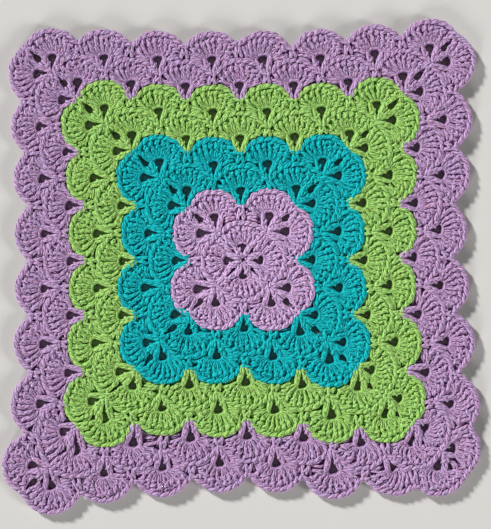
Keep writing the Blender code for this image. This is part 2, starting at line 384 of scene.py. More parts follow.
def posts(which):
    """The strands of some shells' posts, with the posts' angles, distances from the eye and middle lines."""
    some = (len(which), STITCHES, 1)
    t = np.linspace(0, 1, POST_POINTS)
    half = np.where(at_corner[which], CORNER_HALF, FAN_HALF)
    share = (np.arange(STITCHES) + 0.5) / STITCHES
    base = axis_angle[which][:, None] + half[:, :1] - half.sum(1, keepdims=True) * share
    top, reach, _ = on_rim(which, HEADS, UNDER_RIM)
    base = base[..., None] + chance.normal(0, POST_UNEVEN["base"], some)
    swing = (top[..., None] - base + math.pi) % math.tau - math.pi + chance.normal(0, POST_UNEVEN["head"], some)
    angle = base + swing * (t * t * (3 - 2 * t))
    far = FAN_START + (reach[..., None] - FAN_START + chance.normal(0, POST_UNEVEN["length"], some)) * t
    out = np.stack((np.cos(angle), np.sin(angle)), -1)
    middle = eye[which][:, None, None] + out * far[..., None]
    height = curve(t, POST_HEIGHT) + chance.normal(0, POST_UNEVEN["height"], some)
    turn = curve(t, POST_TURN) + chance.normal(0, POST_UNEVEN["turn"], some)
    batches = []
    for other in (0.0, math.pi):
        flat = middle + turned(out) * (curve(t, POST_WIDE) * np.cos(turn + other))[..., None]
        paths = raised(flat, height + curve(t, POST_DEEP) * np.sin(turn + other))
        size = curve(t, POST_THICK) * (1 + chance.normal(0, POST_UNEVEN["thick"], some))
        batches.append(sweep(paths.reshape(-1, POST_POINTS, 3), size.reshape(-1, POST_POINTS)))
    return batches, angle, far, middle


print("tall stitches:", STITCHES * len(eye), "heads every", round(HEADS[1] - HEADS[0], 3), "of the rim")

# %% [markdown]
# ## Between and across the posts
# The hook draws the yarn round each post on its way up, which shows as short diagonals. Three of them wrap each post,
# each a tube of five points, and none lies quite like the next, because even wraps would look like a screw thread.
# Between the posts, where the fan is widest, the back of the stitch shows, so a lower strand fills each space.

# %% Wrap the posts
WRAPS = (
    {"at": 5, "across": 1.2, "along": 1.6, "crest": 3.3, "thick": 0.74},
    {"at": 7, "across": 1.75, "along": 1.4, "crest": 3.6, "thick": 0.95},
    {"at": 8, "across": 2.6, "along": 1.7, "crest": 2.9, "thick": 0.95},
)
WRAP_POINTS = 5
WRAP_DROP = 1.7  # how far a wrap's ends dip from its crest
WRAP_THICK = (-1, 0.65), (-0.5, 1), (0.5, 1), (1, 0.65)
WRAP_UNEVEN = {"at": 0.6, "across": 0.15, "along": 0.3, "crest": 0.12}
BETWEEN_FROM, BETWEEN_STEP = 4, 2  # the strands between posts use every second point, from this one on
BETWEEN_HEIGHT, BETWEEN_UNEVEN = 2.15, 0.15
BETWEEN_THICK = (0, 0.7), (0.4, 1.05), (1, 1.05)


def between_posts(which, angle, far):
    """The low strands that fill the fan between its posts."""
    points = slice(BETWEEN_FROM, None, BETWEEN_STEP)
    turned_between = (angle[:, 1:, points] + angle[:, :-1, points]) / 2
    reach_between = (far[:, 1:, points] + far[:, :-1, points]) / 2
    out = np.stack((np.cos(turned_between), np.sin(turned_between)), -1)
    low = eye[which][:, None, None] + out * reach_between[..., None]
    height = BETWEEN_HEIGHT + chance.normal(0, BETWEEN_UNEVEN, (len(which), STITCHES - 1, 1))
    count = low.shape[2]
    size = curve(np.linspace(0, 1, count), BETWEEN_THICK)
    return sweep(raised(low, height).reshape(-1, count, 3), size, COARSE)


def wrapped(wrap, out, middle):
    """One wrap on every post."""
    some = (*out.shape[:2], 1)
    w = np.linspace(-1, 1, WRAP_POINTS)
    spot = wrap["at"] + np.rint(chance.normal(0, WRAP_UNEVEN["at"], some[:2])).astype(int)
    spot = np.minimum(spot, POST_POINTS - 2)[..., None, None]
    pick, heading = (np.take_along_axis(of_post, spot, axis=2) for of_post in (middle, out))
    aside = chance.normal(wrap["across"], WRAP_UNEVEN["across"], some) * w
    along = chance.normal(wrap["along"], WRAP_UNEVEN["along"], some) * w
    flat = pick + turned(heading) * aside[..., None] + heading * along[..., None]
    paths = raised(flat, wrap["crest"] - WRAP_DROP * w**2 + chance.normal(0, WRAP_UNEVEN["crest"], some))
    return sweep(paths.reshape(-1, WRAP_POINTS, 3), wrap["thick"] * curve(w, WRAP_THICK), COARSE)


def fans(which):
    """The posts and wraps of the shells' stitches, and the strands between them."""
    batches, angle, far, middle = posts(which)
    batches.append(between_posts(which, angle, far))
    out = np.stack((np.cos(angle), np.sin(angle)), -1)
    return batches + [wrapped(wrap, out, middle) for wrap in WRAPS]


print("wraps:", len(WRAPS) * STITCHES * len(eye))

# %% [markdown]
# ## The chain round the rim
# The heads of the stitches lock into a chain that runs round every shell and through the valleys. Of each link, the
# front leg lies on top and slants across the rim, and the back leg follows the rim's outer side a little lower. A
# third strand runs below the two, at the back of the cloth. A twisted cord along the rim would be quicker to make, but
# its links would not meet the heads of the posts, so each link is laid from one head to the next.

# %% Lay the chain
CHAIN_INSET = 1.9  # from the rim to the chain's middle line
CHAIN_LEGS = (
    {"from": -1.25, "to": 0.75, "height": 2.35, "thick": 1.0},
    {"from": 0.75, "to": 1.0, "height": 1.75, "thick": 0.9},
)
LINK_POINTS = 6
LINK_BOW, LINK_CREST = 0.35, 1.2  # how far a leg bends sideways and rises in its middle
LINK_ARCH = (0.05, 0.88)  # where in half a wave a leg's rise begins, and how much of it there is
LINK_START, LINK_LENGTH = -0.22, 1.4  # in steps from head to head, so that links overlap
LINK_THICK = (0, 0.6), (0.3, 1), (0.7, 1), (1, 0.6)
LINK_UNEVEN = {"head": 0.22, "spread": 0.12, "start": 0.03, "height": 0.12}
UNDER_CHAIN = {"ends": (0.02, 0.98), "points": 13, "inset": CHAIN_INSET - 0.1, "height": 1.35, "thick": 1.0}
both_ways = (-1, 1)


def chains(which):
    """The two legs of every link along the shells' rims, and the strand below them."""
    _, _, heads = on_rim(which, HEADS, CHAIN_INSET)
    heads = heads + chance.normal(0, LINK_UNEVEN["head"], heads.shape)
    knots = np.concatenate((highs[which, :1], heads, highs[which, 1:]), axis=1)
    begin, step = knots[:, :-1].reshape(-1, 1, 2), np.diff(knots, axis=1).reshape(-1, 1, 2)
    u = np.linspace(0, 1, LINK_POINTS)
    outward = -turned(unit(step))
    shape = (len(begin), 1)
    batches = []
    for leg in CHAIN_LEGS:
        spread = leg["from"] + (leg["to"] - leg["from"]) * u + LINK_BOW * np.sin(math.pi * u)
        spread = spread + chance.normal(0, LINK_UNEVEN["spread"], shape)
        along = LINK_LENGTH * u + LINK_START + chance.normal(0, LINK_UNEVEN["start"], shape)
        flat = begin + step * along[..., None] + outward * spread[..., None]
        height = leg["height"] + LINK_CREST * np.sin(math.pi * (LINK_ARCH[0] + LINK_ARCH[1] * u))
        height = height + chance.normal(0, LINK_UNEVEN["height"], shape)
        batches.append(sweep(raised(flat, height), leg["thick"] * curve(u, LINK_THICK)))
    share = np.linspace(*UNDER_CHAIN["ends"], UNDER_CHAIN["points"])
    _, _, line = on_rim(which, share, UNDER_CHAIN["inset"])
    batches.append(sweep(raised(line, UNDER_CHAIN["height"]), UNDER_CHAIN["thick"], COARSE))
    return batches


print("links:", (STITCHES + 1) * len(eye))

# %% [markdown]
# ## Feet and loops
# Each shell stands on a V of two posts that rise from one foot, with loops across their tops, and the eye is the
# space between them. The photo's eyes are triangles, narrow at the foot and wide at the loops. A round hole would look
# punched, so the legs keep together near the foot, low strands narrow the V inside them, and the loops are flattened.
# The V comes up through the chain of the round before and over its outer leg, which is why a new colour bites into
# the last one.

# %% Stand the shells on their feet
LEG_POINTS, CROSSING_POINTS = 11, 6  # of a leg, and of a wrap across a leg or a tie
LEG_TOP = (4.75, 1.9)  # where the middle of a leg meets the loop, across and along from the eye's middle
LEG_FOOT = 0.95  # from the V's middle line to the middle of a leg, at its foot
LEG_SPREAD = 1.15  # more than 1 keeps the legs together near the foot
LEG_BELOW_FOOT = 1.6  # a leg begins this far below the valley that it stands in
FIRST_LEG_ABOVE_MIDDLE = 1.7  # and in the first round this far out from the middle, at the ring
LEG_HEIGHT = (0, 0.9), (0.1, 2.8), (0.2, 3.4), (0.4, 3.1), (0.75, 2.5), (1, 1.7)
LEG_WIDE = (0, 0.3), (0.25, 0.82), (0.8, 0.82), (1, 0.6)
LEG_THICK = (0, 0.65), (0.15, 1.05), (0.85, 1.0), (1, 0.65)
LEG_DEEP = 0.7  # a leg's two strands rise and dip by this share of their width
LEG_TURN, LEG_TURN_START = 2.2, 0.9  # in radians
LEG_UNEVEN = {"top": 0.3, "turn": 0.25}
# the low strand inside a leg, and how much closer it lies to the V's middle line
INNER = {"height": 1.0, "thick": 0.85, "closer": ((0, 1.2), (0.45, 1.45), (0.7, 0.95), (1, 0.85))}
LEG_WRAP = {"at": 5, "across": 1.5, "along": 2.0, "height": 2.4, "crest": 1.5, "uneven": 0.1, "thick": 0.75}


def legs(which):
    """The V under each shell's fan: of each leg two twisted strands, a low one inside them and a wrap."""
    t = np.linspace(0, 1, LEG_POINTS)
    w = np.linspace(-1, 1, CROSSING_POINTS)
    shape = (len(which), 1)
    aside, ahead = across[which][:, None], axis[which][:, None]
    down = np.linalg.norm(eye[which] - foot[which], axis=1)[:, None]
    start = down + np.where(round_of[which] == 1, -FIRST_LEG_ABOVE_MIDDLE, LEG_BELOW_FOOT)[:, None]
    batches = []
    for way in both_ways:
        top = LEG_TOP[0] + chance.normal(0, LEG_UNEVEN["top"], shape)
        x = way * (LEG_FOOT + (top - LEG_FOOT) * t**LEG_SPREAD)
        y = -start + (start + LEG_TOP[1]) * t
        middle = eye[which][:, None] + aside * x[..., None] + ahead * y[..., None]
        wide = curve(t, LEG_WIDE)
        turn = chance.normal(0, LEG_UNEVEN["turn"], shape) + way * (LEG_TURN * t - LEG_TURN_START)
        for other in (0.0, math.pi):
            flat = middle + aside * (wide * np.cos(turn + other))[..., None]
            height = curve(t, LEG_HEIGHT) + LEG_DEEP * wide * np.sin(turn + other)
            batches.append(sweep(raised(flat, height), curve(t, LEG_THICK)))
        low = middle[:, ::2] - aside * way * curve(t[::2], INNER["closer"])[:, None]
        batches.append(sweep(raised(low, INNER["height"]), INNER["thick"], COARSE))
        flat = middle[:, LEG_WRAP["at"] + (way > 0)][:, None] + aside * (LEG_WRAP["across"] * w)[:, None]
        flat = flat + ahead * (LEG_WRAP["along"] * w)[:, None]
        height = LEG_WRAP["height"] + LEG_WRAP["crest"] * (1 - w**2) + chance.normal(0, LEG_WRAP["uneven"], shape)
        batches.append(sweep(raised(flat, height), LEG_WRAP["thick"], COARSE))
    return batches


print("from foot to eye, mm:", np.linalg.norm(eye - foot, axis=1).mean().round(1), "on average")

# %% Loop the tops of the legs
LOOPS = ({"reach": 4.0, "height": 1.9, "thick": 0.85}, {"reach": 3.5, "height": 1.1, "thick": 0.95})
LOOP_POINTS = 12
LOOP_ENDS = (-20, 200)  # degrees, from the shell's right to its left
LOOP_WIDE, LOOP_FLAT = 1.06, 0.14  # a loop is this much wider than round, and flattened by this much at its top
LOOP_UNEVEN = 0.06


def feet(which):
    """The V and the loops under each shell's fan."""
    batches = legs(which)
    around = np.radians(np.linspace(*LOOP_ENDS, LOOP_POINTS))
    sideways, outwards = np.cos(around)[:, None], np.sin(around)[:, None]
    direction = across[which][:, None] * sideways + axis[which][:, None] * outwards
    widths = 1 + chance.normal(0, LOOP_UNEVEN, (len(which), 1, 1))
    flatter = LOOP_WIDE - LOOP_FLAT * outwards**4
    for loop in LOOPS:
        path = eye[which][:, None] + loop["reach"] * flatter * widths * direction
        batches.append(sweep(raised(path, loop["height"]), loop["thick"]))
    return batches


print("loops:", len(LOOPS) * len(eye))

# %% [markdown]
# ## Beside the eyes
# Round a shell's V, strands of the outermost stitches lie along the shell below, one behind the other. Where a new
# colour begins the deepest lies lower, so that it goes under the old colour's rim. Some of the middle ones are thin,
# which leaves the small dark spots of loose work: real shadow, over the painted shade of the yarn and sheet that lie
# low there. Beside a corner gap, strands bow round the gap instead. Extra posts could fill these places, but a post
# points at its eye, and these strands lie along their neighbour.

# %% Nest the strands beside the eyes
BESIDE = (  # from the eye, across and along; then up the tie, short of it, sideways, in height, how many are loose
    {"across": 4.3, "along": -4.2, "lift": 0.14, "short": 2.0, "bow": 1.3, "rise": 1.7, "loose": 0.0},
    {"across": 5.1, "along": -1.6, "lift": 0.3, "short": 2.1, "bow": 0.7, "rise": 1.7, "loose": 0.3},
    {"across": 5.1, "along": 0.2, "lift": 0.55, "short": 2.3, "bow": 0.5, "rise": 1.7, "loose": 0.0},
)
DEEPEST_RISE = 0.9  # of the first of them, in a round that brings a new colour
LOOSE_SHARE, LOOSE_DROP = 0.4, 1.2  # how thick a loose strand is beside a full one, and how much lower it lies
LIPS = (  # from the corner's foot: sideways, start as a share of the gap's end, past that end, in height
    {"bulge": 2.0, "begin": 0.43, "beyond": 0.8, "rise": 1.3},
    {"bulge": 3.5, "begin": 0.43, "beyond": 2.3, "rise": 1.3},
    {"bulge": 0.2, "begin": 0.2, "beyond": -7.0, "rise": 2.3},
)
LIP_ASIDE, LIP_ROUND = 0.9, 0.8  # how far from the gap's middle a lip begins, and how blunt its bow is
LAID_HEIGHT = (0, -0.3), (0.3, 0.9), (0.7, 0.9), (1, 0)
LAID_THICK = (0, 0.65), (0.3, 1), (0.8, 1), (1, 0.65)
LAID_UNEVEN = {"height": 0.15, "bend": 0.2}
BESIDE_THICK, LIP_THICK = 1.02, 0.95
OFF_THE_FLOOR = 0.95  # a strand's middle keeps at least this many radii above the floor
LAID_POINTS = 7
laid = np.linspace(0, 1, LAID_POINTS)


def lay(path, rise, thick):
    """A batch of strands laid along a path in the plane."""
    height = rise + curve(laid, LAID_HEIGHT) + chance.normal(0, LAID_UNEVEN["height"], (len(path), 1))
    height = np.maximum(height, OFF_THE_FLOOR * thick)
    return sweep(raised(path, height), thick * curve(laid, LAID_THICK))


def beside(here, side, strand, rise):
    """One strand on one side of some shells' eyes."""
    way = both_ways[side]
    low, high = lows[here, side], highs[here, side]
    start = eye[here] + across[here] * way * strand["across"] + axis[here] * strand["along"]
    end = low + (high - low) * strand["lift"] - across[here] * way * strand["short"]
    uneven = chance.normal(0, LAID_UNEVEN["bend"], (len(here), 1))
    bend = strand["bow"] * np.sin(math.pi * laid) + uneven * np.sin(math.tau * laid)
    path = start[:, None] + (end - start)[:, None] * laid[:, None]
    full = np.where(chance.random((len(here), 1)) < strand["loose"], LOOSE_SHARE, 1.0)
    path = path - (way * turned(unit(end - start)))[:, None] * bend[..., None]
    return lay(path, rise - LOOSE_DROP * (1 - full), BESIDE_THICK * full)


def round_gap(here, side, lip):
    """One strand on one side of some corner gaps."""
    way_out = unit(lows[here, side] - foot[here])
    aside = turned(way_out) * -both_ways[side]
    far = np.linalg.norm(lows[here, side] - foot[here], axis=1)[:, None]
    along = far * lip["begin"] + (far * (1 - lip["begin"]) + lip["beyond"]) * laid
    bulge = LIP_ASIDE + lip["bulge"] * np.sin(math.pi * laid) ** LIP_ROUND
    path = foot[here][:, None] + way_out[:, None] * along[..., None] + aside[:, None] * bulge[:, None]
    return lay(path, lip["rise"], LIP_THICK)


def nests(which):
    """The strands beside a shell's eye: along the shell below, or round the corner gap where there is one."""
    new_colour = round_of[which[0]] in new_colour_rounds
    batches = []
    for side in range(2):
        here = which[~at_corner[which, side]]
        for strand in BESIDE:
            deepest = new_colour and strand is BESIDE[0]
            batches.append(beside(here, side, strand, DEEPEST_RISE if deepest else strand["rise"]))
        here = which[at_corner[which, side]]
        batches += [round_gap(here, side, lip) for lip in LIPS]
    return batches


print("corner gaps:", int(at_corner[:, 1].sum()), "strands beside each eye:", len(both_ways) * len(BESIDE))

# %% [markdown]
# ## The ties in the valleys
# A tie is a short stitch that pulls the chain down between two shells: two strands side by side, a lower one outside
# each, and a wrap across the middle. It is a small post, but it has no twist, because it is too short to show one.

# %% Tie the valleys down
TIE_POINTS = 8
TIE_ASIDE = (0, 1.5), (0.25, 1.7), (0.6, 1.1), (1, 0.95)
TIE_HEIGHT = (0, 1.2), (0.15, 2.5), (0.3, 3.5), (0.7, 3.2), (1, 2.6)
TIE_THICK = (0, 0.7), (0.2, 1.05), (0.8, 1.05), (1, 0.7)
TIE_UNEVEN = 0.12
OUTSIDE_TIE = {"aside": 2.3, "spread": 1.3, "from": 0.3, "along": 0.6, "height": 1.6, "crest": 0.9, "thick": 0.95}
OUTSIDE_UNEVEN = 0.15
TIE_WRAP = {"across": 1.6, "along": 1.3, "further": 0.4, "height": 2.5, "crest": 1.4, "uneven": 0.1, "thick": 0.85}


def ties(which):
    """The short stitch in every shell's right valley, from what carries it up to the chain."""
    low, high = lows[which, 1][:, None], highs[which, 1][:, None]
    t = np.linspace(0, 1, TIE_POINTS)
    s = t[::2] / t[-2]
    w = np.linspace(-1, 1, CROSSING_POINTS)
    out = unit(high - low)
    shape = (len(which), 1)
    batches = []
    for way in both_ways:
        x = way * curve(t, TIE_ASIDE) + chance.normal(0, TIE_UNEVEN, shape)
        flat = low + (high - low) * t[:, None] + turned(out) * x[..., None]
        batches.append(sweep(raised(flat, curve(t, TIE_HEIGHT)), curve(t, TIE_THICK)))
        spread = way * (OUTSIDE_TIE["aside"] + OUTSIDE_TIE["spread"] * s) + chance.normal(0, OUTSIDE_UNEVEN, shape)
        along = (OUTSIDE_TIE["from"] + OUTSIDE_TIE["along"] * s)[:, None]
        flat = low + (high - low) * along + turned(out) * spread[..., None]
        height = OUTSIDE_TIE["height"] + OUTSIDE_TIE["crest"] * np.sin(math.pi * s)
        batches.append(sweep(raised(flat, height), OUTSIDE_TIE["thick"], COARSE))
    flat = (low + high) / 2 + turned(out) * (TIE_WRAP["across"] * w)[:, None]
    flat = flat + out * (TIE_WRAP["along"] * w + TIE_WRAP["further"])[:, None]
    height = TIE_WRAP["height"] + TIE_WRAP["crest"] * (1 - w**2) + chance.normal(0, TIE_WRAP["uneven"], shape)
    batches.append(sweep(raised(flat, height), TIE_WRAP["thick"], COARSE))
    return batches


print("ties:", len(eye))

# %% [markdown]
# ## Yarn that looks like yarn
# The yarn is soft, matt and spun from plies. Plies of their own would triple the mesh and show no more from here, so
# a shader draws them. One group draws what every colour shares: the slanted grooves between plies, with painted shade
# in them, small changes of tone from stitch to stitch, a second shade of dye on some strands, painted highlights on the
# crests and the plies' tops, and painted shade on the yarn that lies low in the cloth. Small helpers come first, so
# that the group itself reads like the sum it is.


# %% Helpers for nodes
def new_group(name, inputs, outputs):
    """An empty shader group with its sockets, and its two end nodes."""
    group = bpy.data.node_groups.new(name, "ShaderNodeTree")
    for label, kind, value in inputs:
        socket = group.interface.new_socket(name=label, in_out="INPUT", socket_type=kind)
        socket.default_value = value
    for label, kind in outputs:
        group.interface.new_socket(name=label, in_out="OUTPUT", socket_type=kind)
    return group, group.nodes.new("NodeGroupInput"), group.nodes.new("NodeGroupOutput")


def maths(group, operation, *values):
    """A Math node, with each value a number or a socket."""
    node = group.nodes.new("ShaderNodeMath")
    node.operation = operation
    for socket, value in zip(node.inputs, values):
        if isinstance(value, (int, float)):
            socket.default_value = value
        else:
            group.links.new(value, socket)
    return node.outputs[0]


def between(group, source, low, high, to_low=0.0, to_high=1.0):
    """A Map Range node, clamped."""
    node = group.nodes.new("ShaderNodeMapRange")
    group.links.new(source, node.inputs["Value"])
    for label, value in (("From Min", low), ("From Max", high), ("To Min", to_low), ("To Max", to_high)):
        node.inputs[label].default_value = value
    return node.outputs["Result"]


def mixed(group, share, first, second):
    """A colour between two sockets' colours."""
    node = group.nodes.new("ShaderNodeMix")
    node.data_type = "RGBA"
    group.links.new(share, node.inputs["Factor"])
    for label, source in (("A", first), ("B", second)):
        group.links.new(source, next(s for s in node.inputs if s.name == label and s.type == "RGBA"))
    return next(s for s in node.outputs if s.type == "RGBA")


def noise(group, vector, scale, detail):
    """A Noise Texture node's grey value."""
    node = group.nodes.new("ShaderNodeTexNoise")
    node.inputs["Scale"].default_value = scale
    node.inputs["Detail"].default_value = detail
    group.links.new(vector, node.inputs["Vector"])
    return node.outputs["Fac"]


def combined(group, x, y=None):
    """A vector from one or two numbers' sockets."""
    node = group.nodes.new("ShaderNodeCombineXYZ")
    group.links.new(x, node.inputs["X"])
    if y is not None:
        group.links.new(y, node.inputs["Y"])
    return node.outputs["Vector"]


def separated(group, vector):
    """A vector's X, Y and Z sockets, by name."""
    node = group.nodes.new("ShaderNodeSeparateXYZ")
    group.links.new(vector, node.inputs[0])
    return node.outputs


print("node helpers ready")

# %% A node group for worked yarn
PAINTED_SHADE_FROM, PAINTED_SHADE_TO = 0.5, 2.3  # heights in the cloth, mm, between which the painted shade of low-lying yarn fades out
PAINTED_HIGHLIGHT_FROM, PAINTED_HIGHLIGHT_TO = 3.0, 4.4  # and between which a painted highlight grows on the tops
PLIES, TURNS_PER_MM = 3.0, 0.1
PLY_GROOVE, GROOVE_DARK = 0.55, 0.15  # a groove's share of a ply, and how much of the unshaded colour the painted shade in it leaves
FIBRES_ALONG, FIBRES_AROUND, FIBRE_BUMP = 0.9, 6.0, 0.5
STRAND_CHANGE, STITCH_CHANGE = 0.01, 0.4  # how fast the dye and the shade change along the yarn
STRAND_RANGE, STITCH_RANGE, FIBRE_RANGE = (0.3, 0.7), (0.35, 0.65), (0.3, 0.7)  # of the noise that is used
TONE_BY_STITCH, PAINTED_HIGHLIGHT_SHARE = 0.45, 0.5  # how much of the lighter colour the tone from stitch to stitch and the painted highlight each bring
LOW_PAINTED_HIGHLIGHT = 0.4  # the painted highlight on a strand below the crests, of 1 on them
MATT = (0.7, 0.95)  # roughness


def worked_yarn():
    """The group that gives all yarns their plies, tone, painted highlights and painted shade."""
    group, given, made = new_group(
        "worked_yarn",
        [
            ("Yarn", "NodeSocketColor", (0.5, 0.5, 0.5, 1)),
            ("Other strands", "NodeSocketColor", (0.5, 0.5, 0.5, 1)),
            # a painted shade colour, then a lighter colour for tone and painted highlights
            ("Painted shade", "NodeSocketColor", (0.1, 0.1, 0.1, 1)),
            ("Tone and painted highlight", "NodeSocketColor", (0.8, 0.8, 0.8, 1)),
            ("Plies", "NodeSocketFloat", PLIES),
            ("Turns per mm", "NodeSocketFloat", TURNS_PER_MM),
        ],
        [("Colour", "NodeSocketColor"), ("Height", "NodeSocketFloat"), ("Roughness", "NodeSocketFloat")],
    )
    given, made = given.outputs, made.inputs
    yarn_map = group.nodes.new("ShaderNodeUVMap")
    yarn_map.uv_map = ALONG
    yarn_place = yarn_map.outputs["UV"]
    height_in_cloth = separated(group, group.nodes.new("ShaderNodeTexCoord").outputs["Object"])["Z"]
    along, aside = (separated(group, yarn_place)[label] for label in "XY")

    # the plies slant round the strand, and fibres run along them
    slanted = maths(group, "MULTIPLY", along, given["Turns per mm"])
    around = maths(group, "MULTIPLY", maths(group, "ADD", aside, slanted), given["Plies"])
    ply = maths(group, "ABSOLUTE", maths(group, "SINE", maths(group, "MULTIPLY", around, math.pi)))
    fibre_along = maths(group, "MULTIPLY", along, FIBRES_ALONG)
    fibre_around = maths(group, "MULTIPLY", around, FIBRES_AROUND)
    fibres = noise(group, combined(group, fibre_along, fibre_around), 1.0, 2.0)

    # colours: a second dye from strand to strand, tone from stitch to stitch, and painted highlights on the crests and
    # the plies' tops
    strand = noise(group, combined(group, maths(group, "MULTIPLY", along, STRAND_CHANGE)), 1.0, 0.0)
    dyed = mixed(group, between(group, strand, *STRAND_RANGE), given["Yarn"], given["Other strands"])
    shade = between(group, noise(group, yarn_place, STITCH_CHANGE, 2.0), *STITCH_RANGE)
    # a mask by height that paints a highlight on the tops of the cloth
    crest = between(group, height_in_cloth, PAINTED_HIGHLIGHT_FROM * MM, PAINTED_HIGHLIGHT_TO * MM)
    painted_light = maths(group, "MULTIPLY", maths(group, "MULTIPLY_ADD", crest, 1 - LOW_PAINTED_HIGHLIGHT, LOW_PAINTED_HIGHLIGHT), ply)
    tone_and_highlight = maths(group, "MULTIPLY_ADD", shade, TONE_BY_STITCH, maths(group, "MULTIPLY", painted_light, PAINTED_HIGHLIGHT_SHARE))
    light = mixed(group, tone_and_highlight, dyed, given["Tone and painted highlight"])

    # painted shade: low in the cloth and in the grooves between plies, the shade colour takes over
    above_low_shade = between(group, height_in_cloth, PAINTED_SHADE_FROM * MM, PAINTED_SHADE_TO * MM)
    clear_of_painted_shade = maths(group, "MULTIPLY", above_low_shade, between(group, ply, 0.0, PLY_GROOVE, GROOVE_DARK, 1.0))
    group.links.new(mixed(group, clear_of_painted_shade, given["Painted shade"], light), made["Colour"])
    group.links.new(maths(group, "MULTIPLY_ADD", fibres, FIBRE_BUMP, ply), made["Height"])
    group.links.new(between(group, fibres, *FIBRE_RANGE, *MATT), made["Roughness"])
    return group


YARN_GROUP = worked_yarn()
print("nodes in the yarn group:", len(YARN_GROUP.nodes))

# %% [markdown]
# ## Four yarns
# Each colour is a material of its own, because the yarn changes colour only between rounds. It gives the group four
# colours as a picture shows them: the yarn, a second dye, a painted shade and a lighter colour for tone and painted
# highlights. It also has a faint sheen, which stands for the fuzz of loose fibres. The lilac in the middle is pinker
# and lighter than the border's.

# %% Dye the yarns
BUMP_STRENGTH, BUMP_DISTANCE = 0.8, 0.4 * MM
SHEEN = {"Sheen Weight": 0.12, "Sheen Roughness": 0.45, "Specular IOR Level": 0.2}
# each yarn's third colour is a painted shade, and its fourth a lighter colour for tone and painted highlights
COLOURS = {
    "middle": {
        "name": "lilac_middle",
        "Yarn": (184, 156, 196),
        "Other strands": (194, 150, 188),
        "Painted shade": (108, 66, 120),
        "Tone and painted highlight": (204, 176, 214),
        "fuzz": (235, 200, 240),
    },
    "teal": {
        "name": "teal",
        "Yarn": (0, 176, 176),
        "Other strands": (0, 166, 182),
        "Painted shade": (0, 100, 112),
        "Tone and painted highlight": (0, 184, 186),
        "fuzz": (10, 200, 200),
    },
    "lime": {
        "name": "lime",
        "Yarn": (140, 190, 98),
        "Other strands": (154, 188, 88),
        "Painted shade": (80, 128, 42),
        "Tone and painted highlight": (164, 206, 122),
        "fuzz": (190, 240, 130),
    },
    "border": {
        "name": "lilac_border",
        "Yarn": (170, 143, 184),
        "Other strands": (184, 138, 176),
        "Painted shade": (104, 68, 114),
        "Tone and painted highlight": (188, 160, 198),
        "fuzz": (230, 195, 238),
    },
}


def from_display(red, green, blue):
    """A colour as a picture shows it, 0 to 255, made linear for the shader."""
    return tuple(((c / 255 + 0.055) / 1.055) ** 2.4 for c in (red, green, blue)) + (1.0,)


def yarn_material(colours):
    """A yarn's material, from its colours."""
    material = bpy.data.materials.new(colours["name"])
    material.use_nodes = True
    tree = material.node_tree
    surface = tree.nodes["Principled BSDF"]
    look = tree.nodes.new("ShaderNodeGroup")
    look.node_tree = YARN_GROUP
    for label in ("Yarn", "Other strands", "Painted shade", "Tone and painted highlight"):
        look.inputs[label].default_value = from_display(*colours[label])
    tree.links.new(look.outputs["Colour"], surface.inputs["Base Color"])
    tree.links.new(look.outputs["Roughness"], surface.inputs["Roughness"])
    bump = tree.nodes.new("ShaderNodeBump")
    bump.inputs["Strength"].default_value = BUMP_STRENGTH
    bump.inputs["Distance"].default_value = BUMP_DISTANCE
    tree.links.new(look.outputs["Height"], bump.inputs["Height"])
    tree.links.new(bump.outputs["Normal"], surface.inputs["Normal"])
    surface.inputs["Sheen Tint"].default_value = from_display(*colours["fuzz"])
    for label, value in SHEEN.items():
        surface.inputs[label].default_value = value
    return material


YARNS = {band: yarn_material(colours) for band, colours in COLOURS.items()}
print("yarns:", [material.name for material in YARNS.values()])

# %% [markdown]
# ## Work the eight rounds
# Two rounds share a colour. Each round could be one mesh, but it is made as three pieces, its fans, its chains and its
# feet, so that each kind of stitch can be looked at, hidden or counted alone.

# %% Make the yarn pieces
bands = list(YARNS)
for number in every_round:
    band = bands[(number - 1) // ROUNDS_IN_BAND]
    which = np.flatnonzero(round_of == number)
    for kind, batches in (
        ("fans", fans(which)),
        ("chains", chains(which)),
        ("feet", feet(which) + nests(which) + ties(which)),
    ):
        piece = mesh_of(f"round_{number}_{kind}", batches)
        piece.data.materials.append(YARNS[band])
        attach(piece, "root")

# %% [markdown]
# ## The ring in the middle
# The work begins with a few chain stitches joined to a ring, and the four middle Vs rise from it. One closed strand
# is enough here, because the Vs hide most of it. It rises and dips as it passes under them.

# %% Close the ring
RING_POINTS = 17
RING_REACH, RING_HEIGHT, RING_THICK = 1.9, 2.6, 0.85
RING_WAVE, RING_WAVES = 0.5, 4  # it rises and dips once under each V
turn = np.linspace(0, math.tau, RING_POINTS)
ring_height = RING_HEIGHT + RING_WAVE * np.sin(RING_WAVES * turn)
ring = np.stack((RING_REACH * np.cos(turn), RING_REACH * np.sin(turn), ring_height), -1)
ring_piece = mesh_of("middle_ring", [sweep(ring[None], RING_THICK)])
ring_piece.data.materials.append(YARNS["middle"])
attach(ring_piece, "root")

# %% [markdown]
# ## The cloth between the strands
# Tubes leave slits that real, fluffy yarn fills. A thin sheet low in the cloth closes them, and it is the piece that
# stands for the solid. Its eyes and corner gaps are open. Cutting 172 openings with booleans is slow and leaves poor
# faces, so a constrained Delaunay mesh fills the outline instead. It keeps every given edge, the seams between the
# colours too, so each triangle lies in one band and takes its colour.

# %% Outline the sheet, its openings and its seams
EDGE_INSET = 1.6  # the sheet ends this far inside the rim, under the chain
HEM_POINTS, SEAM_POINTS = 10, 8  # for each shell
EYE_OPENING = ((0, -4.4), (1.2, -2.4), (2.8, 0.8), (2.4, 2.9), (0, 3.5))  # its right half, across and along
GAP_HALF_WIDTH = 2.3


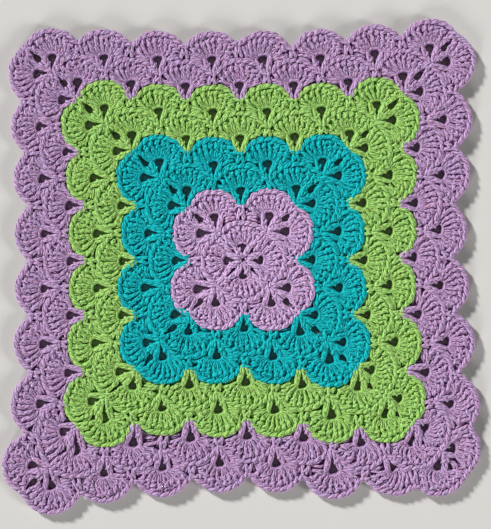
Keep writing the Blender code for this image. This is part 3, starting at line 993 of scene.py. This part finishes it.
def eye_openings():
    """The outline of each eye."""
    mirrored = [(-x, y) for x, y in reversed(EYE_OPENING[1:-1])]
    outline = np.array([*EYE_OPENING, *mirrored], float)
    return [eye[i] + across[i] * outline[:, :1] + axis[i] * outline[:, 1:] for i in range(len(eye))]


def gap_openings():
    """The outline of each corner gap, a diamond between two shells' eyes."""
    half_long = (GAP_END - GAP_START) / 2
    corners = [(-half_long, 0), (0, GAP_HALF_WIDTH), (half_long, 0), (0, -GAP_HALF_WIDTH)]
    outlines = []
    for n in range(2, ROUNDS + 1):
        first = np.flatnonzero(round_of == n)[0]
        for side in range(4):
            a, b = first + side * n + n - 1, first + (side * n + n) % (4 * n)
            start = (eye[a] + eye[b]) / 2
            out = unit(start - foot[a])
            middle = start + out * (GAP_START + GAP_END) / 2
            outlines.append(np.array([middle + out * p + turned(out) * q for p, q in corners]))
    return outlines


def rims(number, points, inset):
    """The rims of a round as one closed line."""
    _, _, line = on_rim(np.flatnonzero(round_of == number), np.arange(points) / points, inset)
    return line.reshape(-1, 2)


hem = rims(ROUNDS, HEM_POINTS, EDGE_INSET)
openings = eye_openings() + gap_openings()
seams = [rims(n - 1, SEAM_POINTS, 0.0) for n in new_colour_rounds]
print("openings:", len(openings), "seams:", len(seams))

# %% [markdown]
# The filled mesh covers the openings too, so each triangle is tested: it stays if its middle lies inside the hem and
# inside no opening. Its round is the first whose shells reach it, counted from the middle.

# %% Fill the sheet
SEAM_SLACK = 0.4  # a triangle this far past a shell's peak still belongs to it
WHOLE_MESH, SAME_POINT = 0, 1e-5  # the kind of filling, and how close two points count as one


def round_at(place):
    """The round that a place lies in."""
    for n in every_round:
        if np.linalg.norm(eyes[n] - place, axis=1).min() < SHELL_PEAK + SEAM_SLACK:
            return n
    return ROUNDS


def inside(places, loop):
    """Which places lie inside a closed outline, by counting the crossings of a ray."""
    x, y = places[:, None, 0], places[:, None, 1]
    ahead = np.roll(loop, -1, axis=0)
    crosses = (loop[:, 1] > y) != (ahead[:, 1] > y)
    rise = np.where(ahead[:, 1] == loop[:, 1], 1.0, ahead[:, 1] - loop[:, 1])
    at = loop[:, 0] + (y - loop[:, 1]) * (ahead[:, 0] - loop[:, 0]) / rise
    return (crosses & (x < at)).sum(1) % 2 == 1


points, edges = [], []
for loop in (hem, *openings, *seams):
    begin = len(points)
    points.extend(loop)
    edges.extend((begin + i, begin + (i + 1) % len(loop)) for i in range(len(loop)))
flat, _, faces, *_ = delaunay_2d_cdt([Vector(p) for p in points], edges, [], WHOLE_MESH, SAME_POINT)
flat = np.array([tuple(p) for p in flat])
middles = flat[np.array(faces)].mean(1)
covered = inside(middles, hem)
for loop in openings:
    covered &= ~inside(middles, loop)
kept = [(faces[i], round_at(middles[i])) for i in np.flatnonzero(covered)]
print("triangles of one side:", len(kept), "of", len(faces))

# %% [markdown]
# The sheet gets a top, a bottom and a wall along every edge that only one triangle has. Its UV map is laid out flat,
# so that the yarn group draws strands across it too.

# %% Give the sheet two sides
# lying this low in the cloth, the sheet takes mostly the yarns' painted shade colour, which darkens the slits
SHEET_LOW, SHEET_HIGH = 0.9, 1.4
used = sorted({i for face, _ in kept for i in face})
number_of = {old: new for new, old in enumerate(used)}
under = len(used)
sheet_points = [(x * MM, y * MM, z * MM) for z in (SHEET_HIGH, SHEET_LOW) for x, y in (flat - CENTRE)[used]]
sheet_faces, sheet_rounds, borders = [], [], {}
for face, n in kept:
    a, b, c = (number_of[i] for i in face)
    sheet_faces += [(a, b, c), (c + under, b + under, a + under)]
    sheet_rounds += [n, n]
    for pair in ((a, b), (b, c), (c, a)):
        if pair[::-1] in borders:
            del borders[pair[::-1]]
        else:
            borders[pair] = n
for (a, b), n in borders.items():
    sheet_faces.append((b, a, a + under, b + under))
    sheet_rounds.append(n)
data = bpy.data.meshes.new("sheet")
data.from_pydata(sheet_points, [], sheet_faces)
print("sheet:", len(sheet_faces), "faces,", len(borders), "of them walls")

STRAND_PITCH = 5.0  # one turn round the yarn is drawn this wide, in mm
for material in YARNS.values():
    data.materials.append(material)
sheet_bands = (np.array(sheet_rounds, np.int32) - 1) // ROUNDS_IN_BAND
data.polygons.foreach_set("material_index", sheet_bands)
corners = np.empty(len(data.loops), np.int32)
data.loops.foreach_get("vertex_index", corners)
spots = np.array(sheet_points)[corners, :2] / MM / (1, STRAND_PITCH)
data.uv_layers.new(name=ALONG, do_init=False).uv.foreach_set("vector", spots.astype(np.float32).ravel())
sheet = bpy.data.objects.new("sheet", data)
bpy.context.scene.collection.objects.link(sheet)
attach(sheet, "root")
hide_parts("blanket")
print("faces by band:", dict(zip(bands, np.bincount(sheet_bands).tolist())))

# %% [markdown]
# ## The floor
# The blanket lies on a plain pale floor, one square face. It lies a hair lower than the cloth, so that the two never
# share a plane, and it is wide enough to reach the horizon in a low view.

# %% Lay the floor
FLOOR_REACH, FLOOR_DROP = 12.0, 0.0002  # in metres
FLOOR_COLOUR, FLOOR_ROUGHNESS = (200, 198, 194), 0.9


def plain_material(name, colour, roughness):
    """A matt material of one colour."""
    material = bpy.data.materials.new(name)
    material.use_nodes = True
    surface = material.node_tree.nodes["Principled BSDF"]
    surface.inputs["Base Color"].default_value = from_display(*colour)
    surface.inputs["Roughness"].default_value = roughness
    surface.inputs["Specular IOR Level"].default_value = 0.0
    return material


floor_data = bpy.data.meshes.new("floor")
floor_corners = [(x * FLOOR_REACH, y * FLOOR_REACH, 0) for x, y in ((-1, -1), (1, -1), (1, 1), (-1, 1))]
floor_data.from_pydata(floor_corners, [], [(0, 1, 2, 3)])
floor_data.materials.append(plain_material("pale_floor", FLOOR_COLOUR, FLOOR_ROUGHNESS))
floor = bpy.data.objects.new("floor", floor_data)
floor.location.z = -FLOOR_DROP
bpy.context.scene.collection.objects.link(floor)
print("floor, m:", 2 * FLOOR_REACH)

# %% [markdown]
# ## Light and backdrop
# The stitches show by their shadows, so all three lights come in low: a key from the upper left, and two broad, weak
# ones from the right and from below that fill its shadows. They are suns, because a sun lights the whole cloth evenly.
# The air itself hardly glows, which keeps the eyes dark. Only the camera sees the pale backdrop, so that a low view has
# no dark sky and the cloth has no extra light.

# %% Light the cloth
LIGHTS = {  # directions are from the blanket, softness is how wide each light looks from there
    "key": {"towards": (-0.8, 0.75), "elevation": 23.0, "softness": 7.0, "strength": 5.5},
    "fill": {"towards": (1.0, -0.4), "elevation": 18.0, "softness": 16.0, "strength": 2.7},
    "low": {"towards": (-0.5, -1.0), "elevation": 18.0, "softness": 16.0, "strength": 2.2},
}
GLOW, BACKDROP_COLOUR = 0.02, (222, 221, 217)
for name, given in LIGHTS.items():
    light = bpy.data.lights.new(name, "SUN")
    light.energy = given["strength"]
    light.angle = math.radians(given["softness"])
    holder = bpy.data.objects.new(name, light)
    level = Vector(given["towards"]).normalized()
    holder.location = (level.x, level.y, math.tan(math.radians(given["elevation"])))
    holder.rotation_euler = (-holder.location).to_track_quat("-Z", "Y").to_euler()
    bpy.context.scene.collection.objects.link(holder)

world = bpy.data.worlds.new("studio")
world.use_nodes = True
air = world.node_tree
glow, backdrop = air.nodes["Background"], air.nodes.new("ShaderNodeBackground")
glow.inputs["Color"].default_value = (1.0, 1.0, 1.0, 1.0)
glow.inputs["Strength"].default_value = GLOW
backdrop.inputs["Color"].default_value = from_display(*BACKDROP_COLOUR)
either, path = air.nodes.new("ShaderNodeMixShader"), air.nodes.new("ShaderNodeLightPath")
air.links.new(path.outputs["Is Camera Ray"], either.inputs["Fac"])
air.links.new(glow.outputs["Background"], either.inputs[1])
air.links.new(backdrop.outputs["Background"], either.inputs[2])
air.links.new(either.outputs["Shader"], air.nodes["World Output"].inputs["Surface"])
bpy.context.scene.world = world
bpy.context.scene.view_settings.view_transform = "Standard"
print("lights:", list(LIGHTS))

# %% [markdown]
# ## The camera
# The camera looks straight down, as in the photo. Its place follows from where the ring lies in the picture, and its
# lens from the size of a pixel on the cloth.

# %% Set the camera
PICTURE = (491, 529)  # pixels
MM_PER_PIXEL = 0.6
RING_IN_PICTURE = (243.2, 259.8)  # pixels from the left and from the top
CAMERA_HEIGHT = 0.6  # metres above the cloth's face
FACE_HEIGHT = 3.0  # of the cloth, mm
lens = bpy.data.cameras.new("camera")
lens.sensor_width = 36.0
lens.lens = lens.sensor_width * CAMERA_HEIGHT / (max(PICTURE) * MM_PER_PIXEL * MM)
camera = bpy.data.objects.new("camera", lens)
aim_x = ((PICTURE[0] / 2 - RING_IN_PICTURE[0]) * MM_PER_PIXEL - CENTRE[0]) * MM
aim_y = ((RING_IN_PICTURE[1] - PICTURE[1] / 2) * MM_PER_PIXEL - CENTRE[1]) * MM
camera.location = (aim_x, aim_y, CAMERA_HEIGHT + FACE_HEIGHT * MM)
bpy.context.scene.collection.objects.link(camera)
bpy.context.scene.camera = camera
print("camera over", round(aim_x / MM, 1), round(aim_y / MM, 1), "mm")
